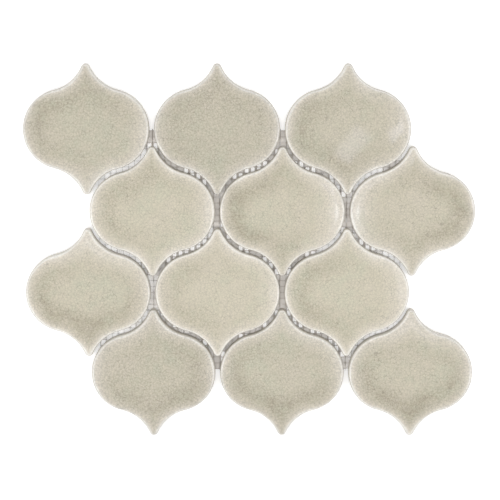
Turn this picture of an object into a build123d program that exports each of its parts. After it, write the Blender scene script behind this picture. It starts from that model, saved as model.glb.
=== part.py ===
"""Mosaic sheet of twelve glazed lantern tiles held together by a glass-fibre net on their backs.

Millimetres, +Z up. The origin is the middle of the sheet at the underside of the net, which is the
plane that is bedded in adhesive. +X runs along a row of tiles and +Y from the last row to the first.
"""

import os

from build123d import *

# Tile: a pressed lantern shape, round at the sides and drawn out to a point at each end
tile_width = 86.8
tile_height = 90.0
tile_thickness = 8.0
tip_radius = 3.0
rim_bevel = 1.3

# Setting out: each row is moved half a tile along from the one before, so that points fill the joints
joint_width = 3.2
tip_spacing = 24.0
row_count = 4
tiles_per_row = 3

# Net: two layers of straight yarns, one laid across the other and both glued to the tile backs
yarn_width = 0.7
yarn_thickness = 0.25
yarn_pitch = 4.2
glue_line = 0.03
net_inset = 4.5

column_pitch = tile_width + joint_width
row_pitch = (tile_height + tip_spacing) / 2
row_shift = column_pitch / 4

# The middle of a joint is an S of two equal arcs, from the side of one tile to the side of the next
s_radius = column_pitch / 8 + row_pitch**2 / (2 * column_pitch)
s_middle = Vector(column_pitch / 4, row_pitch / 2)
across_joint = Vector(2 * s_radius - column_pitch / 2, row_pitch).normalized()

# A quarter of a tile's outline: the belly turns over into the flank, and the flank runs up to the tip
side = Vector(tile_width / 2, 0)
tip = Vector(0, tile_height / 2)
turnover = s_middle - across_joint * (joint_width / 2)
tip_centre = tip - Vector(0, tip_radius)
reach = turnover - tip_centre
flank_radius = (reach.dot(reach) - tip_radius**2) / (2 * (tip_radius - reach.dot(across_joint)))
flank_centre = turnover + across_joint * flank_radius
tip_start = tip_centre + (flank_centre - tip_centre).normalized() * tip_radius

# The net stays behind the tiles: it ends at the middle of the outer rows and short of the inset tiles
net_length = (tiles_per_row - 1) * column_pitch - 2 * row_shift + tile_width - 2 * net_inset
net_width = (row_count - 1) * row_pitch
weft_count = int(net_width // yarn_pitch) + 1
warp_count = int(net_length // yarn_pitch) + 1
warp_height = yarn_thickness + glue_line
tile_bed = warp_height + yarn_thickness + glue_line

os.makedirs("parts", exist_ok=True)

# Weft: the lower yarns, along the rows
with BuildPart() as weft:
    with BuildSketch():
        with GridLocations(0, yarn_pitch, 1, weft_count):
            Rectangle(net_length, yarn_width)
    extrude(amount=yarn_thickness)
weft.part.label = "net_weft_yarns"
export_step(weft.part, "parts/net_weft_yarns.step")

# Warp: the upper yarns, across the rows and against the tile backs
with BuildPart() as warp:
    with BuildSketch(Plane.XY.offset(warp_height)):
        with GridLocations(yarn_pitch, 0, warp_count, 1):
            Rectangle(yarn_width, net_width)
    extrude(amount=yarn_thickness)
warp.part.label = "net_warp_yarns"
export_step(warp.part, "parts/net_warp_yarns.step")

# Tiles: one fired piece each, with a flat back, upright sides and a bevelled rim about the face
for row in range(row_count):
    row_y = (row_count - 1) * row_pitch / 2 - row * row_pitch
    row_x = row_shift if row % 2 else -row_shift
    for column in range(tiles_per_row):
        tile_x = row_x + (column - (tiles_per_row - 1) / 2) * column_pitch
        with BuildPart() as tile:
            with BuildSketch(Plane(origin=(tile_x, row_y, tile_bed))):
                with BuildLine():
                    belly = TangentArc(side, turnover, tangent=(0, 1))
                    flank = TangentArc(turnover, tip_start, tangent=belly % 1)
                    TangentArc(tip_start, tip, tangent=flank % 1)
                    mirror(about=Plane.YZ)
                    mirror(about=Plane.XZ)
                make_face()
            extrude(amount=tile_thickness)
            face_edges = tile.faces().sort_by(Axis.Z)[-1].edges()
            chamfer(face_edges, rim_bevel)
        tile_name = f"tile_row{row + 1}_{column + 1}"
        tile.part.label = tile_name
        export_step(tile.part, f"parts/{tile_name}.step")
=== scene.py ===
import math

import bmesh
import bpy
from mathutils import Matrix, Quaternion, Vector, noise


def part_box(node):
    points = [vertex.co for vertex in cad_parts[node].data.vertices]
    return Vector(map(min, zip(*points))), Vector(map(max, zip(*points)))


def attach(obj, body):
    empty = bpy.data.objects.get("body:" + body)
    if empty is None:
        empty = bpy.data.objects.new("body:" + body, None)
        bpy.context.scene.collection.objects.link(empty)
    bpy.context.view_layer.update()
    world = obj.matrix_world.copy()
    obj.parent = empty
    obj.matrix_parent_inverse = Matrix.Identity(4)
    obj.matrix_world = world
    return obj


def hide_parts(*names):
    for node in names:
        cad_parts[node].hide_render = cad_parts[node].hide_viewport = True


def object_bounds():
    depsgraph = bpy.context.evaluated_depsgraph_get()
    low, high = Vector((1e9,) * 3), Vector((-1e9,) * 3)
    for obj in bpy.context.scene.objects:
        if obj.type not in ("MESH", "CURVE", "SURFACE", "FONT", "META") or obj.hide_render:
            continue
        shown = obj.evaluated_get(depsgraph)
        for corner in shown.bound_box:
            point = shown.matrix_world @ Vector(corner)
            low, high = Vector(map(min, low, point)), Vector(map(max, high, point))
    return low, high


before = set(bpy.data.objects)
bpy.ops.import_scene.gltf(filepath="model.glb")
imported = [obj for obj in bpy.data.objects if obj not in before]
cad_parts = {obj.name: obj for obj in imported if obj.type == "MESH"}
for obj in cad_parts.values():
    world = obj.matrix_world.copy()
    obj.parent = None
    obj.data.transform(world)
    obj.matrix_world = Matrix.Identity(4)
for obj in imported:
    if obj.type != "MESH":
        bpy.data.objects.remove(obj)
cad_low, cad_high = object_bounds()


# Weft of the net: glass-fibre yarns that run along the rows of tiles, flattened by the coating rollers
# and stiff with binder. They are the lower layer, the one that the adhesive on the wall meets first.

class Shade:
    """A shader socket that takes part in ordinary sums: each operator adds a Math node."""

    def __init__(self, tree, socket=None):
        self.tree = tree
        self.socket = socket

    def node(self, kind, settings=None, sockets=None, output=0):
        """Adds a node, gives it its settings, then values or links, and returns one of its outputs."""
        made = self.tree.nodes.new(kind)
        for name, value in (settings or {}).items():
            if name == "stops":
                while len(made.color_ramp.elements) < len(value):
                    made.color_ramp.elements.new(1.0)
                for element, (position, colour) in zip(made.color_ramp.elements, value):
                    element.position = position
                    element.color = (*colour, 1.0)
            else:
                setattr(made, name, value)
        for name, value in (sockets or {}).items():
            if isinstance(value, Shade):
                self.tree.links.new(value.socket, made.inputs[name])
            else:
                made.inputs[name].default_value = value
        return Shade(self.tree, made.outputs[output] if made.outputs else None)

    def other(self, output):
        """Another output of the node that this socket belongs to."""
        return Shade(self.tree, self.socket.node.outputs[output])

    def maths(self, operation, *values):
        return self.node("ShaderNodeMath", {"operation": operation}, dict(enumerate(values)))

    def clamped(self):
        return self.node("ShaderNodeClamp", None, {"Value": self})

    def blend(self, first, second):
        """The first colour where this value is 0 and the second where it is 1."""
        return self.node("ShaderNodeMix", {"data_type": "RGBA"}, {0: self, 6: first, 7: second}, 2)

    def __add__(self, other):
        return self.maths("ADD", self, other)

    __radd__ = __add__

    def __sub__(self, other):
        return self.maths("SUBTRACT", self, other)

    def __rsub__(self, other):
        return self.maths("SUBTRACT", other, self)

    def __mul__(self, other):
        return self.maths("MULTIPLY", self, other)

    __rmul__ = __mul__

    def __truediv__(self, other):
        return self.maths("DIVIDE", self, other)

    def __pow__(self, power):
        return self.maths("POWER", self, power)

    def __mod__(self, step):
        return self.maths("FLOORED_MODULO", self, step)

    def __gt__(self, other):
        return self.maths("GREATER_THAN", self, other)

    def __abs__(self):
        return self.maths("ABSOLUTE", self)


def new_finish(name):
    """A material with its own Principled shader, and a place to start its maths from."""
    material = bpy.data.materials.new(name)
    material.use_nodes = True
    tree = material.node_tree
    return material, Shade(tree), tree.nodes["Principled BSDF"].inputs


def feed(shade, sockets, **values):
    """Links varying values to the shader's sockets, whose names are written with _ for a space."""
    for name, value in values.items():
        shade.tree.links.new(value.socket, sockets[name.replace("_", " ")])


column_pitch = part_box("tile_row1_2")[0].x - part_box("tile_row1_1")[0].x
row_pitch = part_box("tile_row1_1")[0].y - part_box("tile_row2_1")[0].y


def squeezed_glue(x, y):
    """Glue come up between tiles that stand side by side: 1 or more there, 0 or less elsewhere."""
    at_middle = 1.6
    across_reach = 0.005
    along_reach = 0.011
    off_joint = abs(x % (column_pitch / 2) - column_pitch / 4)
    off_row = abs(y % row_pitch - row_pitch / 2)
    return at_middle - off_joint / across_reach - off_row / along_reach


def binder_spread(shade, place):
    """Where clear binder has soaked the net, from 0 to 1: over several meshes, and along the cut ends."""
    patches = 28.0
    patch_from = 0.45
    patch_edge = 7.0
    ends_from = 0.06
    ends_edge = 25.0
    spread = shade.node("ShaderNodeTexNoise", None, {"Vector": place, "Scale": patches, "Detail": 1.0})
    from_middle = abs(shade.node("ShaderNodeSeparateXYZ", None, {0: place}))
    return ((spread - patch_from) * patch_edge + (from_middle - ends_from) * ends_edge).clamped()


def yarn_finish(name, fibre_scale):
    """Glass filaments along the yarn, grey where the binder has soaked in and white where it has set."""
    grey_yarn = (0.50, 0.455, 0.405, 1.0)
    pale_yarn = (0.70, 0.645, 0.575, 1.0)
    set_binder = (0.92, 0.91, 0.90, 1.0)
    binder_patches = 210.0
    set_from = 0.56
    set_edge = 12.0
    dry_roughness = 0.62
    set_roughness = 0.27
    dry_alpha = 0.58
    soaked_alpha = 0.08
    material, shade, sockets = new_finish(name)
    place = shade.node("ShaderNodeTexCoord", output="Object")
    along = shade.node("ShaderNodeMapping", None, {"Vector": place, "Scale": fibre_scale})
    fibres = shade.node("ShaderNodeTexNoise", None, {"Vector": along, "Scale": 1.0, "Detail": 3.0})
    patches = shade.node("ShaderNodeTexNoise", None, {
        "Vector": place, "Scale": binder_patches, "Detail": 1.0})
    soaked = ((fibres - 0.3) * 2.2).clamped()
    white = ((patches - set_from) * set_edge).clamped()
    colour = white.blend(soaked.blend(grey_yarn, pale_yarn), set_binder)
    bump = shade.node("ShaderNodeBump", None, {"Height": fibres, "Strength": 0.5, "Distance": 0.0001})
    soaked_through = binder_spread(shade, place)
    feed(
        shade, sockets, Base_Color=colour, Normal=bump,
        Roughness=dry_roughness - white * (dry_roughness - set_roughness),
        Alpha=dry_alpha - soaked_through * (dry_alpha - soaked_alpha))
    return material


def lay_yarns(node, along, across, crossing_pitch):
    """All the yarns of one layer: lens-shaped, a little wavy, and flattest where another yarn crosses."""
    sides = 8
    stations_per_crossing = 2
    sway = 0.00012
    sways_per_metre = 90.0
    yarn_step = 5.7
    layer_step = 1000.0
    narrowing = 0.16
    low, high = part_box(node)
    length = high[along] - low[along]
    thickness = high.z - low.z
    edges = sorted({round(v.co[across], 6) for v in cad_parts[node].data.vertices})
    width = edges[1] - edges[0]
    bm = bmesh.new()
    bmesh.ops.create_cone(
        bm, cap_ends=True, segments=sides, radius1=0.5, radius2=0.5, depth=length,
        matrix=Matrix.Rotation(math.pi / sides, 4, "Z"))
    lengthwise = [e for e in bm.edges if abs(e.verts[0].co.z - e.verts[1].co.z) > length / 2]
    stations = round(length / crossing_pitch * stations_per_crossing)
    bmesh.ops.subdivide_edges(bm, edges=lengthwise, cuts=stations)
    reach = math.cos(math.pi / sides)
    bmesh.ops.scale(bm, vec=(width / reach, thickness / reach, 1.0), verts=bm.verts)
    turn = Matrix.Rotation(math.pi / 2, 3, "X")
    if along == 0:
        turn = Matrix.Rotation(math.pi / 2, 3, "Z") @ turn
    bmesh.ops.rotate(bm, cent=(0, 0, 0), matrix=turn, verts=bm.verts)
    bmesh.ops.translate(bm, vec=(0, 0, (low.z + high.z) / 2), verts=bm.verts)
    pattern = bm.verts[:] + bm.edges[:] + bm.faces[:]
    for number, (left, right) in enumerate(zip(edges[0::2], edges[1::2])):
        copied = bmesh.ops.duplicate(bm, geom=pattern)["geom"]
        for vertex in (v for v in copied if isinstance(v, bmesh.types.BMVert)):
            station = vertex.co[along]
            wider = 1.0 - narrowing * (1.0 - math.cos(2 * math.pi * station / crossing_pitch))
            drift = sway * noise.noise(
                (station * sways_per_metre, number * yarn_step, low.z * layer_step))
            vertex.co[across] = (left + right) / 2 + vertex.co[across] * wider + drift
    used_up = [v for v in pattern if isinstance(v, bmesh.types.BMVert)]
    bmesh.ops.delete(bm, geom=used_up, context="VERTS")
    for face in bm.faces:
        face.smooth = len(face.verts) == 4
    return bm


def spread_film(bm, columns, rows, pitch, level):
    """The film of binder in the meshes between the yarns: whole in some, with an opening in the others."""
    film_thickness = 0.00002
    side_border = 0.001
    end_border = 0.0003
    patches = 110.0
    open_below = 0.46
    grid = bmesh.ops.create_grid(bm, x_segments=columns, y_segments=rows, size=0.5)["verts"]
    bmesh.ops.scale(bm, vec=(columns * pitch, rows * pitch, 1.0), verts=grid)
    bmesh.ops.translate(bm, vec=(0, 0, level), verts=grid)
    film = list(dict.fromkeys(f for v in grid for f in v.link_faces))
    openings = []
    for mesh_face in film:
        middle = mesh_face.calc_center_median()
        coverage = 0.5 + noise.noise(middle * patches) + max(0.0, squeezed_glue(middle.x, middle.y))
        if coverage < open_below:
            openings.append(mesh_face)
    inset = bmesh.ops.inset_individual(bm, faces=openings, thickness=side_border, use_even_offset=True)
    opened = set(openings)
    film = [f for f in (*film, *inset["faces"]) if f not in opened]
    taller = (pitch / 2 - end_border) / (pitch / 2 - side_border)
    for opening in openings:
        middle = opening.calc_center_median()
        for vertex in opening.verts:
            vertex.co.y = middle.y + (vertex.co.y - middle.y) * taller
    bmesh.ops.delete(bm, geom=openings, context="FACES_ONLY")
    bmesh.ops.solidify(bm, geom=film, thickness=film_thickness)


def net_piece(bm, name):
    """An object made of one layer's mesh."""
    mesh = bpy.data.meshes.new(name)
    bm.to_mesh(mesh)
    bm.free()
    piece = bpy.data.objects.new(name, mesh)
    bpy.context.scene.collection.objects.link(piece)
    return piece


def film_finish():
    """Dried binder: a milky film that lets the wall or table behind it show."""
    milky = (0.92, 0.865, 0.805, 1.0)
    film_alpha = 0.39
    soaked_alpha = 0.09
    glue_alpha = 0.12
    material, shade, sockets = new_finish("binder_film")
    sockets["Base Color"].default_value = milky
    sockets["Roughness"].default_value = 0.4
    place = shade.node("ShaderNodeTexCoord", output="Object")
    x = shade.node("ShaderNodeSeparateXYZ", None, {0: place})
    glue = squeezed_glue(x, x.other(1)).clamped()
    soaked = binder_spread(shade, place)
    feed(shade, sockets, Alpha=film_alpha - soaked * (film_alpha - soaked_alpha) + glue * glue_alpha)
    return material


weft_edges = sorted({round(v.co.y, 6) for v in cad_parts["net_weft_yarns"].data.vertices})
warp_edges = sorted({round(v.co.x, 6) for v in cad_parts["net_warp_yarns"].data.vertices})
net_pitch = weft_edges[2] - weft_edges[0]
weft_mesh = lay_yarns("net_weft_yarns", 0, 1, net_pitch)
yarn_faces = set(weft_mesh.faces)
film_depth = 0.00002
film_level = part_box("net_weft_yarns")[1].z - film_depth
along_fibre = 150.0
across_fibre = 9000.0
spread_film(weft_mesh, len(warp_edges) // 2 - 1, len(weft_edges) // 2 - 1, net_pitch, film_level)
for face in weft_mesh.faces:
    face.material_index = 0 if face in yarn_faces else 1
weft = net_piece(weft_mesh, "weft_yarns")
weft.data.materials.append(yarn_finish("weft_glass_fibre", (along_fibre, across_fibre, across_fibre)))
weft.data.materials.append(film_finish())
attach(weft, "root")
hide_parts("net_weft_yarns")


# Warp of the net: the same yarns laid across the rows, over the weft and bonded to it by the binder.
# This layer is against the tiles, and a coat of glue holds every tile's back to it.

warp = net_piece(lay_yarns("net_warp_yarns", 1, 0, net_pitch), "warp_yarns")
warp.data.materials.append(yarn_finish("warp_glass_fibre", (across_fibre, along_fibre, across_fibre)))
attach(warp, "root")
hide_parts("net_warp_yarns")


# Tiles: pressed from pale clay in a lantern mould, fired, then dipped in a glossy grey-green glaze that
# crackles as it cools. The glaze runs thin and pale over the rounded rim and pools darker inside it.
# The rim's white is partly a painted highlight, and the side under the rim is darkened as painted shade.

first_low, first_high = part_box("tile_row1_1")
tile_size = first_high - first_low
joint_width = column_pitch - tile_size.x
tip_radius = 0.003
rim_radius = 0.002
cushion_drop = 0.00035
cushion_reach = 0.0022

s_radius = column_pitch / 8 + row_pitch ** 2 / (2 * column_pitch)
across_joint = Vector((2 * s_radius - column_pitch / 2, row_pitch, 0)).normalized()
belly_radius = s_radius - joint_width / 2
belly_centre = Vector((tile_size.x / 2 - belly_radius, 0, 0))
turnover = belly_centre + across_joint * belly_radius
tip = Vector((0, tile_size.y / 2, 0))
tip_centre = tip - Vector((0, tip_radius, 0))
reach = turnover - tip_centre
flank_radius = (reach.length_squared - tip_radius ** 2) / (2 * (tip_radius - reach.dot(across_joint)))
flank_centre = turnover + across_joint * flank_radius
tip_start = tip_centre + (flank_centre - tip_centre).normalized() * tip_radius


def distance_from_edge(x, y):
    """How far a point of the tile is inside its outline, by the arc that is nearest to it."""
    spot = Vector((abs(x), abs(y), 0))
    from_belly = spot - belly_centre
    if from_belly.x * across_joint.y > from_belly.y * across_joint.x:
        return belly_radius - from_belly.length
    return min((spot - flank_centre).length - flank_radius, tip.y - spot.y)


def lantern_mesh():
    """One tile about the origin: its quarter outline swept arc by arc, mirrored, raised and rounded."""
    arcs = ((belly_centre, turnover, 16), (flank_centre, tip_start, 12), (tip_centre, tip, 6))
    weld = 1e-6
    back_bevel = 0.0004
    rim_steps = 6
    cut_spacing = 0.004
    bm = bmesh.new()
    last = [bm.verts.new((tile_size.x / 2, 0, 0))]
    for centre, end, steps in arcs:
        begin = last[0].co - centre
        turn = math.atan2(begin.cross(end - centre).z, begin.dot(end - centre))
        swept = bmesh.ops.spin(
            bm, geom=last, cent=centre, axis=(0, 0, 1), angle=turn, steps=steps, use_merge=False)
        last = [v for v in swept["geom_last"] if isinstance(v, bmesh.types.BMVert)]
    for axis in ("X", "Y"):
        bmesh.ops.mirror(bm, geom=bm.verts[:] + bm.edges[:], axis=axis, merge_dist=weld)
    bmesh.ops.remove_doubles(bm, verts=bm.verts, dist=weld)
    back = bmesh.ops.contextual_create(bm, geom=bm.edges[:])["faces"]
    raised = bmesh.ops.extrude_face_region(bm, geom=back)["geom"]
    lifted = [v for v in raised if isinstance(v, bmesh.types.BMVert)]
    bmesh.ops.translate(bm, vec=(0, 0, tile_size.z), verts=lifted)
    bmesh.ops.recalc_face_normals(bm, faces=bm.faces)
    for level, radius, steps in ((tile_size.z, rim_radius, rim_steps), (0.0, back_bevel, 1)):
        ring = [e for e in bm.edges if all(abs(v.co.z - level) < weld for v in e.verts)]
        bmesh.ops.bevel(
            bm, geom=ring, offset=radius, offset_type="OFFSET", affect="EDGES", segments=steps,
            profile=0.5, material=-1)
    for axis in (0, 1):
        cut = -tile_size[axis] / 2 + cut_spacing
        while cut < tile_size[axis] / 2:
            top = [f for f in bm.faces if f.normal.z > 0.999]
            edges = dict.fromkeys(e for f in top for e in f.edges)
            verts = dict.fromkeys(v for f in top for v in f.verts)
            place = Vector((0, 0, 0))
            place[axis] = cut
            normal = Vector((0, 0, 0))
            normal[axis] = 1.0
            bmesh.ops.bisect_plane(
                bm, geom=[*verts, *edges, *top], dist=1e-5, plane_co=place, plane_no=normal)
            cut += cut_spacing
    for vertex in bm.verts:
        if vertex.co.z > tile_size.z / 2:
            inside = max(0.0, distance_from_edge(vertex.co.x, vertex.co.y))
            vertex.co.z -= cushion_drop * math.exp(-inside / cushion_reach)
    for face in bm.faces:
        face.smooth = face.normal.z > -0.5
    mesh = bpy.data.meshes.new("lantern")
    bm.to_mesh(mesh)
    bm.free()
    return mesh


def glaze_finish():
    """Crackle glaze over pale clay: thin at the rim, pooled inside it, and bare towards the back; painted
    highlight on the rim, painted shade on the side.
    """
    # The rim's white: thin glaze over pale clay, made whiter still as a painted highlight on the rounded
    # rim
    rim_white_and_highlight = (0.90, 0.87, 0.81)
    rim_cream = (0.695, 0.645, 0.56)
    thin_glaze = (0.608, 0.558, 0.455)
    full_glaze = (0.548, 0.503, 0.387)
    pooled_glaze = (0.335, 0.295, 0.205, 1.0)
    green_glaze = (0.50, 0.50, 0.375, 1.0)
    warm_glaze = (0.605, 0.54, 0.445, 1.0)
    # Painted shade: the side under the rim is coloured darker than the rim and the bare clay below it
    shaded_side_glaze = (0.66, 0.62, 0.545, 1.0)
    bare_clay = (0.70, 0.655, 0.57, 1.0)
    rim_reach = 1.8
    full_depth = 24.0
    belly_half_height = 0.018
    belly_thinning = 0.55
    pool_from_rim = 11.5
    pool_reach = 10.5
    pool_all_round = 0.42
    pool_downhill = 0.72
    pool_strength = 0.66
    broad_tint = 1.4
    fine_tint = 1.1
    crackle_cell = 0.0021
    crack_width = 0.07
    crack_stain = 0.36
    speck_stain = 0.45
    side_shade_from = 0.0008
    side_shade_edge = 0.0005
    glaze_line = 3.4
    glaze_line_edge = 0.35
    glossy = 0.1
    coat_roughness = 0.045
    material, shade, sockets = new_finish("crackle_glaze")
    place = shade.node("ShaderNodeTexCoord", output="Object")
    on_tile = shade.node("ShaderNodeAttribute", {"attribute_name": "on_tile"}, output="Vector")
    run = shade.node("ShaderNodeAttribute", {"attribute_name": "glaze_run"}, output="Vector")
    x = shade.node("ShaderNodeSeparateXYZ", None, {0: on_tile})
    y, height = x.other(1), x.other(2)
    run_x = shade.node("ShaderNodeSeparateXYZ", None, {0: run})
    run_y, depth = run_x.other(1), run_x.other(2)

    def cloud(scale, detail):
        return shade.node("ShaderNodeTexNoise", None, {"Vector": place, "Scale": scale, "Detail": detail})

    # Distance from the tile's outline, by the belly's arc or the flank's
    off_belly = abs(x) - belly_centre.x
    beside_belly = (off_belly * across_joint.y - abs(y) * across_joint.x) > 0.0
    to_belly = belly_radius - (off_belly ** 2 + abs(y) ** 2) ** 0.5
    to_flank = ((abs(x) - flank_centre.x) ** 2 + (abs(y) - flank_centre.y) ** 2) ** 0.5 - flank_radius
    to_flank = to_flank.maths("MINIMUM", to_flank, tip.y - abs(y))
    inside = (beside_belly * to_belly + (1.0 - beside_belly) * to_flank) * 1000.0

    # Thickness of the glaze, told by its colour; the rim's white also carries a painted highlight
    wander = (cloud(60.0, 1.0) - 0.5) * 6.0
    lean = (x * run_x + y * run_y) / tile_size.x * 2.0
    run_in = lean * ((inside - 1.5) / 4.0).clamped()
    spared = 0.3 + 0.7 * (1.0 + 0.8 * run_in).clamped()
    settled = inside + wander * (inside / 6.0).clamped()
    past_rim = settled.maths("MAXIMUM", settled - rim_reach, 0.0)
    thinned = past_rim * (1.0 - abs(y) / belly_half_height).clamped() * belly_thinning
    thickness = (settled - thinned) * spared / full_depth
    stops = [
        (0.0, rim_white_and_highlight), (0.048, rim_white_and_highlight), (0.075, rim_cream), (0.15, thin_glaze), (0.34, full_glaze)]
    colour = shade.node("ShaderNodeValToRGB", {"stops": stops}, {0: thickness})
    ring = (1.0 - abs(inside + wander - pool_from_rim) / pool_reach).clamped()
    strength = (run_x ** 2 + run_y ** 2) ** 0.5
    pool = (ring * (pool_all_round * strength + pool_downhill * lean) * (0.5 + cloud(55.0, 1.0))).clamped()
    colour = (pool * pool_strength).blend(colour, pooled_glaze)
    tint = (cloud(42.0, 1.0) - 0.5) * broad_tint + (cloud(170.0, 1.0) - 0.5) * fine_tint
    tint = tint * (inside / 9.0).clamped()
    colour = tint.clamped().blend(colour, green_glaze)
    colour = (tint * -0.7).clamped().blend(colour, warm_glaze)

    # Crackle: a net of hair cracks, stained a little, over fine mottling
    wobble = shade.node("ShaderNodeTexNoise", None, {"Vector": place, "Scale": 400.0}, "Color")
    bent = shade.node("ShaderNodeVectorMath", {"operation": "MULTIPLY_ADD"}, {
        0: wobble, 1: (0.0012, 0.0012, 0.0012), 2: place})
    cells = shade.node("ShaderNodeTexVoronoi", {"feature": "DISTANCE_TO_EDGE"}, {
        "Vector": bent, "Scale": 1.0 / crackle_cell}, "Distance")
    crack = (1.0 - cells / crack_width).clamped() * (inside / 3.0).clamped()
    crack = crack * (cloud(150.0, 1.0) * 1.4).clamped()
    mottle = cloud(900.0, 2.0) - 0.5
    speck = shade.node("ShaderNodeTexVoronoi", None, {"Vector": place, "Scale": 160.0}, "Distance")
    speck = ((0.05 - speck) * 60.0).clamped() * (cloud(35.0, 0.0) > 0.55)
    grain = 0.55 + pool * 0.5 + (1.0 - depth) * 2.0
    value = depth * (1.0 - crack * crack_stain) * (1.0 + mottle * grain) * (1.0 - speck * speck_stain)
    colour = shade.node("ShaderNodeHueSaturation", None, {"Value": value, "Color": colour})

    # The side: glaze under the rim, darkened as painted shade on the wall, then bare clay below the line
    # where the glaze stops
    shaded_side = ((tile_size.z - side_shade_from - height) / side_shade_edge).clamped()
    colour = shaded_side.blend(colour, shaded_side_glaze)
    line = glaze_line + (cloud(140.0, 2.0) - 0.5) * 2.0
    bare = ((line - height * 1000.0) / glaze_line_edge).clamped()
    clay = shade.node("ShaderNodeHueSaturation", None, {
        "Value": 0.92 + cloud(2500.0, 2.0) * 0.16, "Color": bare_clay})
    colour = bare.blend(colour, clay)

    relief = cloud(90.0, 1.0) * 1.2 + mottle * 0.05 - crack * 0.06 + bare * cloud(3000.0, 3.0) * 0.2
    bump = shade.node("ShaderNodeBump", None, {"Height": relief, "Strength": 0.2, "Distance": 0.0003})
    feed(
        shade, sockets, Base_Color=colour, Roughness=glossy + crack * 0.12 + bare * 0.6,
        Coat_Weight=1.0 - bare, Normal=bump)
    sockets["Specular IOR Level"].default_value = 0.0
    sockets["Coat Roughness"].default_value = coat_roughness
    return material


# Where the glaze ran on each tile as it was fired, in degrees from +X, how far, and the tone it came out
glaze_runs = {
    "tile_row1_1": (130, 0.9, 0.95), "tile_row1_2": (110, 0.4, 0.91), "tile_row1_3": (215, 0.9, 0.96),
    "tile_row2_1": (150, 0.75, 1.04), "tile_row2_2": (180, 1.3, 1.03), "tile_row2_3": (350, 1.15, 1.00),
    "tile_row3_1": (255, 1.5, 1.02), "tile_row3_2": (190, 0.7, 1.06), "tile_row3_3": (190, 0.85, 1.05),
    "tile_row4_1": (300, 0.8, 0.92), "tile_row4_2": (250, 1.1, 0.96), "tile_row4_3": (268, 1.5, 0.98),
}
lantern = lantern_mesh()
glaze = glaze_finish()
for node, (angle, strength, tone) in glaze_runs.items():
    low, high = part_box(node)
    middle = Vector(((low.x + high.x) / 2, (low.y + high.y) / 2, low.z))
    mesh = lantern.copy()
    mesh.name = node.replace("tile", "lantern_tile")
    on_tile = mesh.attributes.new("on_tile", "FLOAT_VECTOR", "POINT")
    on_tile.data.foreach_set("vector", [c for v in mesh.vertices for c in v.co])
    run = mesh.attributes.new("glaze_run", "FLOAT_VECTOR", "POINT")
    direction = Matrix.Rotation(math.radians(angle), 2) @ Vector((strength, 0))
    run.data.foreach_set("vector", [*direction, tone] * len(mesh.vertices))
    mesh.transform(Matrix.Translation(middle))
    mesh.materials.append(glaze)
    tile = bpy.data.objects.new(mesh.name, mesh)
    bpy.context.scene.collection.objects.link(tile)
    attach(tile, "root")
    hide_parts(node)
bpy.data.meshes.remove(lantern)


# Floor: a plain white table that the sheet lies on, lit to white, with the sheet's own soft shadow.
# It stands just under the net, so that its yarns rest on it.

def floor_finish():
    """White paper, lifted to full white where it is looked at, so that only real shade shows on it."""
    lift = 0.43
    paper_white = (0.9, 0.9, 0.9, 1.0)
    material = bpy.data.materials.new("white_table")
    material.use_nodes = True
    tree = material.node_tree
    tree.nodes.clear()
    shade = Shade(tree)
    paper = shade.node("ShaderNodeBsdfDiffuse", None, {"Color": paper_white})
    path = shade.node("ShaderNodeLightPath", output="Is Camera Ray")
    looked_at = (path + path.other("Is Glossy Ray") + path.other("Is Transmission Ray")).clamped()
    glow = shade.node("ShaderNodeEmission", None, {"Strength": looked_at * lift})
    both = shade.node("ShaderNodeAddShader", None, {0: paper, 1: glow})
    shade.node("ShaderNodeOutputMaterial", None, {"Surface": both})
    return material


floor_gap = 0.00005
bm = bmesh.new()
bmesh.ops.create_grid(bm, x_segments=1, y_segments=1, size=6.0)
bmesh.ops.translate(bm, vec=(0, 0, cad_low.z - floor_gap), verts=bm.verts)
floor_mesh = bpy.data.meshes.new("table")
bm.to_mesh(floor_mesh)
bm.free()
floor_mesh.materials.append(floor_finish())
floor = bpy.data.objects.new("table", floor_mesh)
bpy.context.scene.collection.objects.link(floor)


# Light: a white tent all round, a broad box overhead, and smaller ones high to the sides and the back.
# The two panes of a far window leave a faint streak on the gloss of the last tile in the first row.

def light_tent():
    """An even white surround, which is full white where the camera or a reflection looks at it."""
    tent_light = 0.26
    world = bpy.data.worlds.new("tent")
    world.use_nodes = True
    shade = Shade(world.node_tree)
    path = shade.node("ShaderNodeLightPath", output="Is Camera Ray")
    looked_at = (path + path.other("Is Glossy Ray") + path.other("Is Transmission Ray")).clamped()
    background = world.node_tree.nodes["Background"].inputs
    background["Color"].default_value = (1.0, 1.0, 1.0, 1.0)
    feed(shade, background, Strength=tent_light + looked_at * (1.0 - tent_light))
    return world


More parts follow.
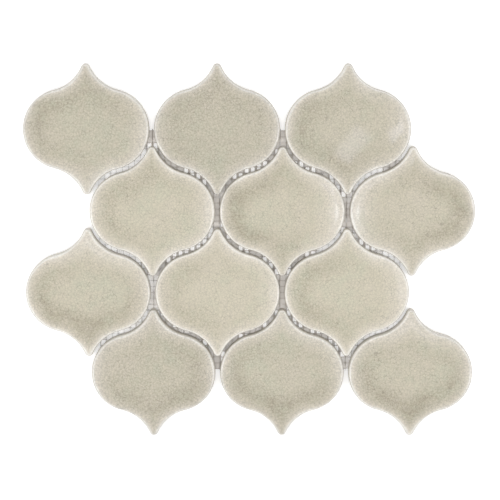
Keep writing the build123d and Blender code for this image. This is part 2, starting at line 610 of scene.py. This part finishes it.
def soft_lamp(name, place, aim, width, height, power, roll=0.0, colour=(1.0, 1.0, 1.0)):
    """A rectangular lamp that faces a point and is turned about its own axis by some degrees."""
    data = bpy.data.lights.new(name, "AREA")
    data.shape = "RECTANGLE"
    data.size = width
    data.size_y = height
    data.energy = power
    data.color = colour
    lamp = bpy.data.objects.new(name, data)
    lamp.location = place
    facing = (Vector(aim) - Vector(place)).to_track_quat("-Z", "Y")
    lamp.rotation_euler = (facing @ Quaternion((0, 0, 1), math.radians(roll))).to_euler()
    bpy.context.scene.collection.objects.link(lamp)


bpy.context.scene.world = light_tent()
soft_lamp("overhead_box", (0, -0.3, 2.6), (0, -0.3, 0), 2.4, 2.4, 22.0)
soft_lamp("left_box", (-1.05, -0.45, 1.05), (0, 0, 0), 0.8, 0.8, 7.8)
soft_lamp("right_box", (1.05, -0.33, 1.05), (0, 0, 0), 0.8, 0.8, 6.3)
soft_lamp("back_box", (0, 1.05, 1.05), (0, 0, 0), 1.2, 0.5, 4.5)
sky = (0.74, 0.76, 1.0)
soft_lamp("window_left_pane", (0.125, -0.026, 1.0), (0.125, -0.026, 0), 0.046, 0.024, 0.0075, 52.0, sky)
soft_lamp("window_right_pane", (0.199, -0.008, 1.0), (0.199, -0.008, 0), 0.058, 0.024, 0.012, 26.0, sky)


# Camera: looks down on the sheet from a little beyond its first row, square to the rows. It stands far
# off behind a long lens, so that the rows run parallel.

picture_width = 0.3464
camera_distance = 1.3
camera_tilt = math.radians(9.0)
aim = Vector((0.00014, 0.00195, cad_high.z))
camera_data = bpy.data.cameras.new("camera")
camera_data.sensor_width = 36.0
camera_data.lens = camera_data.sensor_width * camera_distance / picture_width
camera = bpy.data.objects.new("camera", camera_data)
camera.location = aim + Vector((0, math.sin(camera_tilt), math.cos(camera_tilt))) * camera_distance
camera.rotation_euler = (-camera_tilt, 0, 0)
bpy.context.scene.collection.objects.link(camera)
bpy.context.scene.camera = camera
bpy.context.scene.view_settings.view_transform = "Standard"
